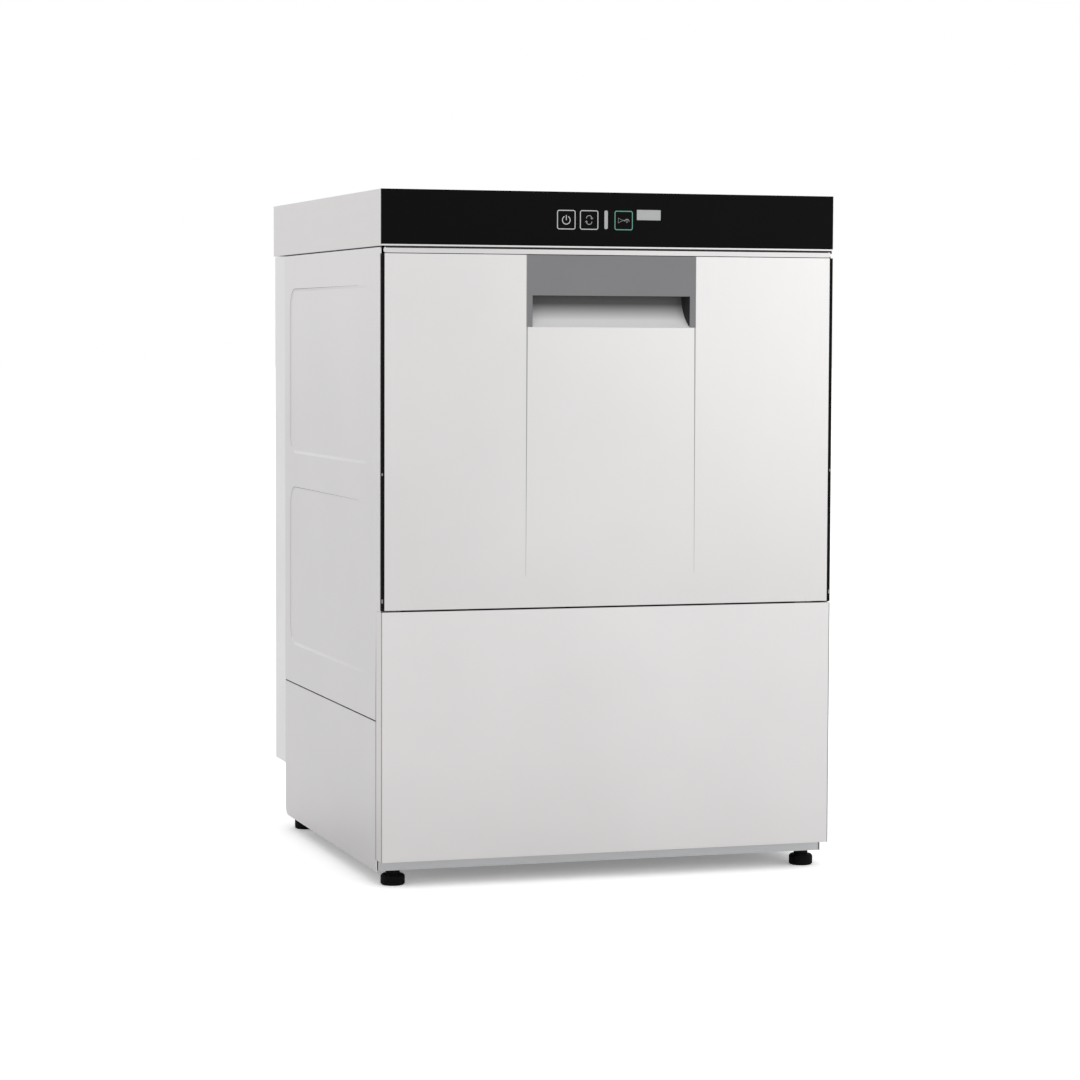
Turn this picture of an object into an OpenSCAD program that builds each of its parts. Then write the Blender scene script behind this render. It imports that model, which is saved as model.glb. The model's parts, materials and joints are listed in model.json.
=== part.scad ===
// Front-loading glass washer with a drop-down door, in millimetres.
// Origin: centre of the footprint on the floor. X to the right, Y to the back, Z up.

/* [Cabinet] */
// Width over the side panels
body_w = 530; // [528:1:534]
// Depth from the door face to the back of the hood
body_d = 530; // [528:1:536]
// Height to the top of the hood
body_h = 768; // [764:1:776]
// Depth of the side panels behind the door face
side_d = 468; // [466:1:470]
// Thickness of the casing sheet
sheet = 1.2; // [1:0.1:1.2]
// Height of the side panels' lower edge
side_z = 16; // [16:0.5:17]
// Height of the seam between the lower and upper side panels
seam_z = 183; // [175:1:190]
// Height of the seam under the hood
hood_z = 706; // [705.5:0.1:706.5]
// Height of the lower front panel's bottom edge
panel_z = 29; // [28:0.5:31]
// Set-back of the plinth and of the side panels beside the lower front panel
plinth_back = 22; // [21:0.5:23]
// Depth of the pressed fields of the side panels at their rear end
press_d = 0.9; // [0.4:0.1:1]
// Corner radius of the pressed fields
press_r = 25; // [15:1:35]

/* [Feet] */
// Radius of a foot
foot_r = 13.6; // [12:0.1:14]
// Radius of a foot's threaded stud
stud_r = 4; // [3:0.5:5]
// Travel of a foot when it is screwed out
foot_travel = 12; // [8:1:15]

/* [Door] */
// Width of the door
door_w = 522.6; // [520:0.2:523]
// Height of the door's lower edge
door_z = 307.5; // [307:0.5:308]
// Height of the door's upper edge
door_top = 698; // [697:0.5:698]
// Thickness of the door
door_t = 25; // [24:0.5:25]
// Height of the hinge pins
hinge_z = 318; // [318:0.5:319]
// Distance of the hinge pins behind the door face
hinge_back = 10; // [10:0.5:11]
// Radius of the hinge pins
pin_r = 5; // [4:0.5:5]
// Width of the grip insert
grip_w = 199; // [180:1:205]
// Height of the grip insert, finger recess included
grip_h = 80.2; // [78:0.2:82]
// Height of the grip insert's flat lip
lip_h = 44.5; // [43:0.1:47]

/* [Controls] */
// Side of a square button
key_w = 21.5; // [18:0.5:22]
// Height of the buttons' centre line
key_z = 737.2; // [734:0.2:740]
// Travel of a button
key_travel = 0.8; // [0.5:0.1:1]

/* [Wash chamber] */
// Outer width of the chamber
tub_w = 472; // [468:1:474]
// Height of the chamber's floor
tub_z = 300; // [299:0.5:300]
// Height of the chamber's top
tub_top = 690; // [688:0.5:690]
// Thickness of the chamber and tank sheet
tub_t = 1.5; // [1.2:0.1:1.5]
// Radius swept by the wash arms
arm_r = 200; // [170:1:204]

/* [Hidden] */
$fn = 48;

// Colours
STEEL = "#d6d4d3";
DULL_STEEL = "#b4b6b8";
PALE_COAT = "#e4e5e5";
BLACK = "#17181a";
RUBBER = "#1c1c1e";
GRIP_GREY = "#84878b";
COPPER = "#b5794f";
BRASS = "#b9975b";
BLUE_PLASTIC = "#39557a";
WHITE_PLASTIC = "#e9e9e6";
BOARD_GREEN = "#2d5e3d";

// Main planes of the cabinet
half_w = body_w / 2;
front_y = -body_d / 2;
rear_y = body_d / 2;
side_rear_y = front_y + side_d;
plinth_y = front_y + plinth_back;
in_x = half_w - sheet;
frame_x = in_x - 1.2;
roof_z = body_h - sheet;
seam_gap = 0.3;
foot_x = half_w - 21;
foot_front_y = front_y + 29.4;
foot_rear_y = front_y + 448;
cover_y = rear_y - 4;
cover_screws = [for (x = [-250, 250], z = [100, 390, 690]) [x, z]];
screw_r = 2;

// Pressed fields of the side panels: ends along Y, and the bottom and top of each
press_y = [front_y + 45, front_y + 440];
press_fields = [[232, 424.3], [466, 664.4]];

// Door and hinge planes
door_half = door_w / 2;
skin_in_y = front_y + sheet;
door_rear_y = front_y + door_t;
hinge_y = front_y + hinge_back;
running = 0.06;
side_gap = 0.5;
grip_half = grip_w / 2;
grip_z = door_top - grip_h;
lip_z = door_top - lip_h;
leg_w = 7;
scoop_depth = 18;
scoop_r = 43;
scoop_y = front_y + scoop_depth - scoop_r;
channel_z = 343;
channel_d = 0.5;

// Controls
fascia_z = hood_z + 2.4;
fascia_t = 2.6;
power_x = -53.8;
cycle_x = -27.2;
start_x = 13.3;
window_box = [28.7, 737.8, 28.4, 11.6];
bar_box = [-9.4, 727.2, 4.3, 21];
board_y = front_y + 13;
switch_t = 1.5;

// Wash chamber, tank and spray system
tub_half = tub_w / 2;
tub_front_y = door_rear_y + 6;
tub_rear_y = side_rear_y + 23;
hub_y = -8;
tank_half = 203;
tank_d = 380;
tank_z = tub_z - 95;
tank_front_y = hub_y - tank_d / 2;
tank_r = 25;
sump_r = 55;
sump_z = tank_z - 25;
flange_w = 10;
heater_x = [-160, -100];
heater_z = tank_z + 13;
heater_r = 4.25;
riser_y = 242;
riser_r = 14;
rinse_x = 32;
rinse_y = 242;
duct_h = 12;
duct_w = 40;
duct_z = [tub_z + 2.5, tub_top - tub_t - duct_h];
standpipe_pos = [178, 158];
standpipe_r = 12;
rinse_duct_x = rinse_x - 6;
rinse_duct_r = 5;
spindle_boss_r = 20;
spindle_r = 14;
spindle_h = 19.4;
rinse_spindle_r = 9;
rinse_spindle_h = 12;
wash_arm_z = tub_z + 15;
rinse_arm_z = tub_z + 34.3;
filter_z = tub_z - 11;

// Machinery space
floor_z = side_z + 2;
pump_x = -98;
pump_z = 95;
shaft_r = 7;
volute_r = 52;
motor_r = 52;
hose_r = 18;
boiler_pos = [150, 105];
boiler_r = 68;
boiler_y = [-165, 85];
plate_y = front_y + 45;
dosing_x = 45;
dosing_z = 250;
valve_x = -150;
valve_z = 52;
drain_z = 48;
gland_x = 60;
rinse_port = [120, 150];
feed_port = [115, 68];
collar_y = side_rear_y - 1.6;
collar_t = 3.6;

// ---- Shared shapes ----

// Rounded rectangle centred on the origin
module rounded_rect(w, h, r) {
    square([w - 2 * r, h], center = true);
    square([w, h - 2 * r], center = true);
    for (x = [-1, 1], y = [-1, 1])
        translate([x * (w / 2 - r), y * (h / 2 - r)]) circle(r);
}

// Box given by two corners
module span(a, b) {
    translate(a) cube(b - a);
}

// The same thing on both sides of the machine
module both_sides() {
    children();
    mirror([1, 0, 0]) children();
}

// Plate that lies in the YZ plane, drawn as (Y, Z), from x to x + t
module plate_x(x, t) {
    translate([x, 0, 0]) rotate([90, 0, 90]) linear_extrude(t) children();
}

// Plate that lies in the XZ plane, drawn as (X, Z), from y to y + t
module plate_y(y, t) {
    translate([0, y + t, 0]) rotate([90, 0, 0]) linear_extrude(t) children();
}

// Rods along X and along Y
module rod_x(x0, x1, y, z, r) {
    translate([x0, y, z]) rotate([0, 90, 0]) cylinder(r = r, h = x1 - x0);
}
module rod_y(x, y0, y1, z, r) {
    translate([x, y0, z]) rotate([-90, 0, 0]) cylinder(r = r, h = y1 - y0);
}

// Quarter bend of a round section, from +X of its centre to +Y
module bend(radius, r) {
    rotate_extrude(angle = 90) translate([radius, 0]) circle(r);
}

// ---- Frame and feet ----

module corner_post(x, y, depth_sign) {
    leg = 24;
    t = 1.5;
    h = tub_z - t - floor_z;
    translate([x - t, depth_sign > 0 ? y : y - leg, floor_z]) cube([t, leg, h]);
    translate([x - leg, depth_sign > 0 ? y : y - t, floor_z]) cube([leg, t, h]);
}

module base_frame() {
    t = 1.5;
    rear = side_rear_y - 3;
    upstand = 12;
    color(DULL_STEEL) difference() {
        union() {
            span([-frame_x, plinth_y, floor_z - t], [frame_x, rear, floor_z]);
            span([-frame_x, plinth_y, side_z + 0.5], [frame_x, plinth_y + t, panel_z + 16]);
            span([-frame_x, rear - t, floor_z], [frame_x, rear, floor_z + upstand]);
            both_sides() {
                span([frame_x - t, plinth_y, floor_z], [frame_x, rear, floor_z + 27]);
                corner_post(frame_x, plinth_y, 1);
                corner_post(frame_x, rear, -1);
                span([tank_half + flange_w + 3, plinth_y, tub_z - t], [frame_x, rear, tub_z]);
                for (y = [foot_front_y, foot_rear_y])
                    translate([foot_x, y, floor_z]) cylinder(r = stud_r + 3, h = 10);
            }
        }
        for (x = [-foot_x, foot_x], y = [foot_front_y, foot_rear_y])
            translate([x, y, 0]) cylinder(r = stud_r + running, h = 60);
        for (x = [-50:20:50])
            span([x - 4, 30, 0], [x + 4, 90, floor_z + 1]);
    }
}

module foot(x, y) {
    color(BLACK) translate([x, y, 0]) {
        rotate_extrude() polygon([
            [0, 0], [foot_r - 1.5, 0], [foot_r, 1.5], [foot_r, 10.2], [foot_r - 1.8, 12],
            [8, 12], [8, 15.4], [0, 15.4]
        ]);
        cylinder(r = stud_r, h = floor_z + 16 + foot_travel);
    }
}

// ---- Casing ----

module lower_side_panel() {
    corner = 12;
    color(STEEL) {
        plate_x(in_x, sheet) difference() {
            translate([plinth_y, side_z]) square([side_rear_y - plinth_y, seam_z - seam_gap - side_z]);
            translate([side_rear_y - corner, side_z]) difference() {
                translate([0, -1]) square([corner + 1, corner + 1]);
                translate([0, corner]) circle(corner);
            }
        }
        span([frame_x, plinth_y + 4, seam_z - 12], [in_x, side_rear_y - 4, seam_z + 8]);
    }
}

// Outline of a pressed field, as (Y, Z)
module press_outline(z) {
    translate([(press_y[0] + press_y[1]) / 2, (z[0] + z[1]) / 2])
        rounded_rect(press_y[1] - press_y[0], z[1] - z[0], press_r);
}

module upper_side_panel() {
    slope = atan(press_d / (press_y[1] - press_y[0]));
    color(STEEL) difference() {
        union() {
            plate_x(in_x, sheet) polygon([
                [plinth_y, seam_z + seam_gap], [side_rear_y, seam_z + seam_gap],
                [side_rear_y, hood_z - 2 * seam_gap], [front_y + 2, hood_z - 2 * seam_gap],
                [front_y + 2, door_z - 1], [plinth_y, door_z - 1]
            ]);
            for (z = press_fields)
                plate_x(in_x - 1, 1) press_outline(z);
        }
        for (z = press_fields)
            translate([half_w, press_y[0], 0]) rotate([0, 0, slope]) translate([-half_w, -press_y[0], 0])
                plate_x(half_w, press_d + 2) press_outline(z);
    }
}

module lower_front_panel() {
    top = door_z - 1.8;
    color(STEEL) {
        span([-half_w, front_y, panel_z], [half_w, skin_in_y, top]);
        span([-half_w, skin_in_y, panel_z], [half_w, plinth_y - 1, panel_z + sheet]);
        both_sides() span([in_x, skin_in_y, panel_z], [half_w, plinth_y - seam_gap, top]);
    }
}

module lower_rear_panel() {
    y = side_rear_y - 2.8;
    color(DULL_STEEL) difference() {
        span([-frame_x, y, floor_z], [frame_x, y + sheet, 100]);
        rod_y(valve_x, y - 1, y + 3, valve_z, 13.6);
        rod_y(standpipe_pos[0], y - 1, y + 3, drain_z, 14.4);
        rod_y(gland_x, y - 1, y + 3, valve_z, 8.4);
    }
}

module rear_cover() {
    low = 79.4;
    top = hood_z - 1;
    y = cover_y;
    color(PALE_COAT) difference() {
        union() {
            span([-half_w + 1, y - sheet, low], [half_w - 1, y, top]);
            both_sides() span([in_x - 1, side_rear_y + 0.2, low], [half_w - 1, y - sheet, top]);
            for (z = [low, top - sheet])
                span([-in_x, side_rear_y + 0.2, z], [in_x, y - sheet, z + sheet]);
        }
        for (s = cover_screws)
            rod_y(s[0], y - 3, y + 1, s[1], screw_r + running);
    }
}

module panel_screws() {
    y = cover_y;
    color(DULL_STEEL) for (s = cover_screws) {
        rod_y(s[0], y, y + 1.6, s[1], 2 * screw_r);
        rod_y(s[0], y - 8, y, s[1], screw_r);
    }
}

module top_cover() {
    skirt = hood_z + 0.2;
    color(STEEL) {
        span([-half_w, front_y + fascia_t, roof_z], [half_w, rear_y, body_h]);
        both_sides() span([in_x, front_y + fascia_t, skirt], [half_w, rear_y, roof_z]);
        both_sides() span([in_x - 12, front_y + fascia_t, skirt], [in_x, rear_y - sheet, skirt + sheet]);
        span([-in_x, rear_y - sheet, skirt], [in_x, rear_y, roof_z]);
        span([-half_w, front_y, skirt], [half_w, front_y + 12, fascia_z - 0.2]);
    }
}

module front_top_rail() {
    low = door_top + 0.8;
    top = hood_z - 1.2;
    color(STEEL) {
        plate_y(front_y + 0.4, 1.6) translate([0, (low + top) / 2])
            rounded_rect(2 * (door_half + 1), top - low, 2.5);
        span([-door_half, front_y + 2, top - sheet], [door_half, tub_front_y + 8, top]);
    }
}

// ---- Controls ----

module fascia_opening(x, z, w, h) {
    span([x, front_y - 1, z], [x + w, front_y + fascia_t + 1, z + h]);
}

module control_fascia() {
    gap = 0.35;
    key = key_w + 2 * gap;
    color(BLACK) difference() {
        union() {
            span([-half_w, front_y, fascia_z], [half_w, front_y + fascia_t, body_h]);
            span([-in_x + 14, front_y + fascia_t, fascia_z + 2], [in_x - 14, front_y + 8, fascia_z + 4]);
        }
        for (x = [power_x, cycle_x, start_x])
            fascia_opening(x - key / 2, key_z - key / 2, key, key);
        fascia_opening(window_box[0], window_box[1], window_box[2], window_box[3]);
        fascia_opening(bar_box[0], bar_box[1], bar_box[2], bar_box[3]);
    }
}

module display_lenses() {
    color("#c9cccf") for (b = [window_box, bar_box])
        span([b[0], front_y + 0.2, b[1]], [b[0] + b[2], front_y + fascia_t, b[1] + b[3]]);
}

module button(x) {
    color(BLACK) {
        plate_y(front_y, fascia_t + 0.8) translate([x, key_z]) rounded_rect(key_w, key_w, 2);
        plate_y(front_y + fascia_t + 0.2, 0.8) translate([x, key_z]) square(key_w + 3, center = true);
        rod_y(x, front_y + fascia_t + 0.9, board_y - switch_t - key_travel - 0.1, key_z, 3);
    }
}

module control_board() {
    t = 1.6;
    color(BOARD_GREEN) {
        span([-78, board_y, 714], [66, board_y + t, 762]);
        for (x = [power_x, cycle_x, start_x])
            span([x - 6, board_y - switch_t, key_z - 6], [x + 6, board_y, key_z + 6]);
        span([window_box[0], front_y + fascia_t, window_box[1]],
             [window_box[0] + window_box[2], board_y, window_box[1] + window_box[3]]);
        for (x = [-72, 61], z = [719, 758])
            rod_y(x, front_y + fascia_t, board_y, z, 2.5);
        span([-60, board_y + t, 720], [-20, board_y + t + 22, 750]);
        span([0, board_y + t, 722], [24, board_y + t + 14, 746]);
    }
}

// ---- Wash chamber and tank ----

// Section of the chamber: open at the front, rounded corners at the back
module tub_section(inset) {
    r = 20 - inset;
    w = tub_half - inset;
    back = tub_rear_y - inset;
    translate([-w, tub_front_y]) square([2 * w, back - r - tub_front_y]);
    translate([-w + r, tub_front_y]) square([2 * (w - r), back - tub_front_y]);
    for (x = [-1, 1])
        translate([x * (w - r), back - r]) circle(r);
}

module tank_outline(inset) {
    translate([0, hub_y]) rounded_rect(2 * (tank_half - inset), tank_d - 2 * inset, tank_r - inset);
}

module wash_chamber() {
    flange = 20;
    color(STEEL) difference() {
        union() {
            difference() {
                translate([0, 0, tub_z]) linear_extrude(tub_top - tub_z) tub_section(0);
                translate([0, 0, tub_z + tub_t])
                    linear_extrude(tub_top - tub_z - 2 * tub_t) tub_section(tub_t);
                span([-tub_half + tub_t, tub_front_y - 1, tub_z + tub_t],
                     [tub_half - tub_t, tub_front_y + 1, tub_top - tub_t]);
            }
            both_sides()
                span([tub_half, tub_front_y, tub_z], [tub_half + flange, tub_front_y + tub_t, tub_top]);
            span([-tub_half - flange, tub_front_y, tub_top],
                 [tub_half + flange, tub_front_y + tub_t, tub_top + 7]);
        }
        translate([0, 0, tub_z - 1]) linear_extrude(tub_t + 2) tank_outline(0);
        for (z = duct_z) {
            span([-duct_w / 2, tub_rear_y - 5, z], [duct_w / 2, tub_rear_y + 1, z + duct_h]);
            rod_y(rinse_duct_x, tub_rear_y - 5, tub_rear_y + 1, z + duct_h / 2, rinse_duct_r + running);
        }
    }
}

module wash_tank() {
    wall = tub_t;
    color(DULL_STEEL) difference() {
        union() {
            translate([0, 0, tank_z]) linear_extrude(tub_z - tank_z) tank_outline(0);
            translate([0, 0, tub_z - wall]) linear_extrude(wall) tank_outline(-flange_w);
            translate([0, hub_y, sump_z]) cylinder(r = sump_r, h = tank_z - sump_z + 1);
            translate([0, hub_y, sump_z - 12]) cylinder(r = 20, h = 13);
            translate([standpipe_pos[0], standpipe_pos[1], tank_z - 8]) cylinder(r = 14, h = 9);
        }
        translate([0, 0, tank_z + wall]) linear_extrude(tub_z - tank_z) tank_outline(wall);
        translate([0, hub_y, sump_z + wall]) cylinder(r = sump_r - wall, h = tank_z - sump_z + 2);
        translate([0, hub_y, sump_z - 13]) cylinder(r = 18, h = 20);
        translate([standpipe_pos[0], standpipe_pos[1], tank_z - 9]) cylinder(r = standpipe_r + 0.3, h = 20);
        for (x = heater_x)
            rod_y(x, tank_front_y - 1, tank_front_y + 5, heater_z, heater_r + running);
    }
}

module tank_heater() {
    r = heater_r;
    mid = (heater_x[0] + heater_x[1]) / 2;
    bend_r = (heater_x[1] - heater_x[0]) / 2;
    back = 90;
    color(COPPER) {
        for (x = heater_x)
            rod_y(x, tank_front_y - 14, back, heater_z, r);
        translate([mid, back, heater_z]) rotate_extrude(angle = 180) translate([bend_r, 0]) circle(r);
        span([mid - 45, tank_front_y - 3.5, heater_z - 10], [mid + 45, tank_front_y, heater_z + 10]);
    }
}

module tank_filters() {
    rim = 8;
    slot = [5, 74];
    color(DULL_STEEL) both_sides() difference() {
        translate([0, 0, filter_z]) linear_extrude(rim) intersection() {
            tank_outline(tub_t + 0.8);
            translate([0.8, -200]) square([200, 400]);
        }
        translate([0, 0, filter_z + sheet]) linear_extrude(rim) intersection() {
            tank_outline(tub_t + 0.8 + sheet);
            translate([0.8 + sheet, -200]) square([200, 400]);
        }
        translate([0, hub_y, filter_z - 1]) cylinder(r = 48, h = rim + 2);
        translate([standpipe_pos[0], standpipe_pos[1], filter_z - 1]) cylinder(r = 16, h = rim + 2);
        for (x = [62:13:160], y = [-2, -1, 0, 1])
            translate([x, hub_y + 82 * y, filter_z - 1]) cube([slot[0], slot[1], 4]);
    }
}

module strainer_basket() {
    r = 45;
    low = sump_z + tub_t + 1;
    color(DULL_STEEL) difference() {
        union() {
            translate([0, hub_y, low]) cylinder(r = r, h = filter_z - low);
            translate([0, hub_y, filter_z]) cylinder(r = 47.5, h = 5);
        }
        translate([0, hub_y, low + sheet]) cylinder(r = r - sheet, h = 140);
        for (a = [0:30:150], z = [low + 12:22:filter_z - 16])
            translate([0, hub_y, z]) rotate([0, 0, a]) cube([2 * r + 4, 5, 12], center = true);
    }
    color(DULL_STEEL) for (x = [-30, 30])
        span([x - 1, hub_y - 3, filter_z - 12], [x + 1, hub_y + 3, filter_z + 5]);
    color(DULL_STEEL) span([-31, hub_y - 3, filter_z + 5], [31, hub_y + 3, filter_z + 7]);
}

module overflow_standpipe() {
    low = tank_z - 6;
    color(WHITE_PLASTIC) translate([standpipe_pos[0], standpipe_pos[1], 0]) {
        difference() {
            union() {
                translate([0, 0, low]) cylinder(r = standpipe_r, h = filter_z - low);
                translate([0, 0, tank_z + tub_t + 1]) cylinder(r = standpipe_r + 2.5, h = 5);
            }
            translate([0, 0, low - 1]) cylinder(r = standpipe_r - 2, h = 120);
        }
        for (a = [0, 90])
            rotate([0, 0, a]) translate([-10.5, -1, filter_z - 6]) cube([21, 2, 16]);
        translate([0, 0, filter_z + 10]) cylinder(r = 13, h = 4);
    }
}

module rack_rails() {
    z = tub_z + 70;
    y = [tub_front_y + 12, tub_rear_y - 30];
    x = tub_half - tub_t;
    color(DULL_STEEL) both_sides() {
        span([x - 16, y[0], z], [x, y[1], z + sheet]);
        span([x - sheet, y[0], z + sheet], [x, y[1], z + 14]);
        span([x - 16, y[0], z - 10], [x - 16 + sheet, y[1], z]);
    }
}

// ---- Spray system ----

module spray_risers() {
    wall = 1.5;
    end_y = hub_y + spindle_boss_r;
    color(STEEL) difference() {
        union() {
            translate([0, riser_y, tub_z - 10]) cylinder(r = riser_r, h = tub_top - tub_z + 10);
            for (z = duct_z)
                span([-duct_w / 2, end_y, z], [duct_w / 2, riser_y, z + duct_h]);
        }
        translate([0, riser_y, tub_z - 11]) cylinder(r = riser_r - wall, h = tub_top - tub_z + 9);
        for (z = duct_z)
            span([-duct_w / 2 + wall, end_y - 1, z + wall], [duct_w / 2 - wall, riser_y, z + duct_h - wall]);
    }
    color(STEEL) {
        translate([rinse_x, rinse_y, tub_z - 10]) cylinder(r = 6, h = tub_top - tub_z + 2);
        for (z = duct_z)
            rod_y(rinse_duct_x, hub_y, rinse_y, z + duct_h / 2, rinse_duct_r);
    }
}

// Stub that carries one wash arm and one rinse arm, standing up from z
module spindle(z) {
    color(DULL_STEEL) translate([0, hub_y, z]) {
        cylinder(r = spindle_boss_r, h = duct_h);
        translate([-spindle_boss_r, 0, 0]) cube([2 * spindle_boss_r, spindle_boss_r, duct_h]);
        translate([0, -rinse_duct_r, 0]) cube([rinse_duct_x - rinse_duct_r, 2 * rinse_duct_r, duct_h]);
        translate([0, 0, duct_h]) cylinder(r = spindle_r, h = spindle_h);
        translate([0, 0, duct_h + spindle_h]) cylinder(r = rinse_spindle_r, h = rinse_spindle_h);
    }
}

module wash_arm(z) {
    h = 12;
    w = 24;
    reach = arm_r - w / 2;
    color(STEEL) translate([0, hub_y, z]) difference() {
        union() {
            cylinder(r = 24, h = 18);
            translate([-reach, -w / 2, 3]) cube([2 * reach, w, h]);
            for (x = [-reach, reach])
                translate([x, 0, 3]) cylinder(r = w / 2, h = h);
        }
        translate([0, 0, -1]) cylinder(r = spindle_r + running, h = 20);
        for (s = [-1, 1], d = [44:24:150])
            translate([s * d, s * 5, 3 + h - 3]) cylinder(r = 2.6, h = 4);
    }
}

module rinse_arm(z) {
    r = 5;
    color(STEEL) translate([0, hub_y, z]) difference() {
        union() {
            cylinder(r = 16, h = 11);
            rotate([0, 0, 90]) rod_x(-arm_r + 14, arm_r - 14, 0, 5.5, r);
        }
        translate([0, 0, -1]) cylinder(r = rinse_spindle_r + running, h = 13);
        for (s = [-1, 1], d = [40:30:140])
            translate([0, s * d, 8]) cylinder(r = 1.4, h = 4);
    }
}

module arm_screw(z) {
    color(BLUE_PLASTIC) translate([0, hub_y, z]) {
        cylinder(r = 15, h = 3);
        translate([0, 0, 3]) cylinder(r = 11, h = 5);
        for (a = [0:60:150])
            translate([0, 0, 5.5]) rotate([0, 0, a]) cube([27, 3, 5], center = true);
    }
}

// Turns the lower spray group upside down for the ceiling
module at_ceiling() {
    translate([0, 0, duct_z[0] + tub_top - tub_t]) mirror([0, 0, 1]) children();
}

module lower_spindle() { spindle(duct_z[0]); }
module upper_spindle() { at_ceiling() spindle(duct_z[0]); }
module lower_wash_arm() { wash_arm(wash_arm_z); }
module lower_rinse_arm() { rinse_arm(rinse_arm_z); }
module upper_wash_arm() { at_ceiling() wash_arm(wash_arm_z); }
module upper_rinse_arm() { at_ceiling() rinse_arm(rinse_arm_z); }
module arm_screws() {
    z = duct_z[0] + duct_h + spindle_h + rinse_spindle_h;
    arm_screw(z);
    at_ceiling() arm_screw(z);
}

// ---- Wash pump ----

module pump_volute() {
    w = 40;
    wall = 4;
    color(BLACK) difference() {
        union() {
            rod_x(pump_x - w / 2, pump_x + w / 2, hub_y, pump_z, volute_r);
            rod_x(pump_x + w / 2, pump_x + w / 2 + 12, hub_y, pump_z, 22);
            rod_y(pump_x, hub_y, 60, pump_z + 35, 15);
            span([pump_x - 14, hub_y - 30, floor_z], [pump_x + 14, hub_y + 30, pump_z - 30]);
        }
        rod_x(pump_x - w / 2 + wall, pump_x + w / 2 - wall, hub_y, pump_z, volute_r - 5);
        rod_x(pump_x, pump_x + w, hub_y, pump_z, hose_r);
        rod_x(pump_x - w, pump_x, hub_y, pump_z, shaft_r + 0.6);
        rod_y(pump_x, hub_y + 20, 61, pump_z + 35, 12);
    }
}

module pump_motor() {
    front = pump_x - 20;
    back = front - 110;
    wall = 3;
    bore = shaft_r + running;
    color(DULL_STEEL) difference() {
        union() {
            rod_x(back - 18, front, hub_y, pump_z, motor_r);
            span([front - 80, hub_y - 36, floor_z], [front - 30, hub_y + 36, pump_z - 30]);
        }
        rod_x(front - 10, front + 1, hub_y, pump_z, 30);
        rod_x(front - 25, front - 14, hub_y, pump_z, motor_r - wall);
        rod_x(front - 90, front - 24, hub_y, pump_z, 30);
        rod_x(back + 4, front - 89, hub_y, pump_z, motor_r - wall);
        rod_x(back - 30, front, hub_y, pump_z, bore);
        rod_x(back - 16, back, hub_y, pump_z, motor_r - 2);
        for (a = [0:30:330])
            translate([back - 20, hub_y, pump_z]) rotate([a, 0, 0]) translate([0, 12, -3]) cube([4, 30, 6]);
    }
}

module pump_rotor() {
    front = pump_x - 20;
    color(DULL_STEEL) {
        rod_x(front - 122, pump_x + 6, hub_y, pump_z, shaft_r);
        rod_x(front - 85, front - 30, hub_y, pump_z, 29.4);
    }
    color(BLACK) {
        rod_x(pump_x - 12, pump_x - 9, hub_y, pump_z, 44);
        rod_x(front - 116, front - 113, hub_y, pump_z, 40);
        for (a = [0:60:300]) translate([0, hub_y, pump_z]) rotate([a, 0, 0]) {
            span([pump_x - 9, 5, -1.5], [pump_x + 4, 42, 1.5]);
            span([front - 124, 5, -1], [front - 116, 38, 1]);
        }
    }
}

module suction_hose() {
    radius = 50;
    start = sump_z - 12;
    color(RUBBER) difference() {
        union() {
            translate([0, hub_y, pump_z + radius]) cylinder(r = 22, h = start - pump_z - radius);
            translate([-radius, hub_y, pump_z + radius]) rotate([-90, 0, 0]) bend(radius, 22);
            rod_x(pump_x + 32, -radius, hub_y, pump_z, 22);
        }
        translate([0, hub_y, pump_z + radius - 0.1]) cylinder(r = hose_r, h = 60);
        translate([-radius, hub_y, pump_z + radius]) rotate([-90, 0, 0]) bend(radius, hose_r);
        rod_x(pump_x + 30, -radius + 0.1, hub_y, pump_z, hose_r);
    }
}

// Hose path: back along Y from (x, y0), across to x1 and up to z1
module corner_route(x, y0, y1, z0, x1, z1, radius, r) {
    s = x < x1 ? 1 : -1;
    rod_y(x, y0, y1 - radius, z0, r);
    translate([x + s * radius, y1 - radius, z0]) rotate([0, 0, s > 0 ? 90 : 0]) bend(radius, r);
    rod_x(min(x + s * radius, x1 - s * radius), max(x + s * radius, x1 - s * radius), y1, z0, r);
    translate([x1 - s * radius, y1, z0 + radius]) rotate([-90, s > 0 ? 0 : 90, 0])
        bend(radius, r);
    translate([x1, y1, z0 + radius]) cylinder(r = r, h = z1 - z0 - radius);
}

module delivery_hose() {
    top = tub_z - 10;
    color(RUBBER) difference() {
        corner_route(pump_x, 60, riser_y, pump_z + 35, 0, top, 40, 17);
        corner_route(pump_x, 59, riser_y, pump_z + 35, 0, top + 1, 40, 13.5);
    }
}

// ---- Water supply, rinse and drain ----

module drain_pipe() {
    radius = 35;
    x = standpipe_pos[0];
    y = standpipe_pos[1];
    low = drain_z + radius;
    color("#8d9094") difference() {
        union() {
            translate([x, y, low]) cylinder(r = 14, h = tank_z - 8 - low);
            translate([x, y + radius, low]) rotate([0, 90, 180]) bend(radius, 14);
            rod_y(x, y + radius, rear_y - 10, drain_z, 14);
            rod_y(x, collar_y, collar_y + collar_t, drain_z, 18);
        }
        translate([x, y, low - 0.1]) cylinder(r = 11, h = 140);
        translate([x, y + radius, low]) rotate([0, 90, 180]) bend(radius, 11);
        rod_y(x, y + radius - 0.1, rear_y, drain_z, 11);
    }
}

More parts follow.
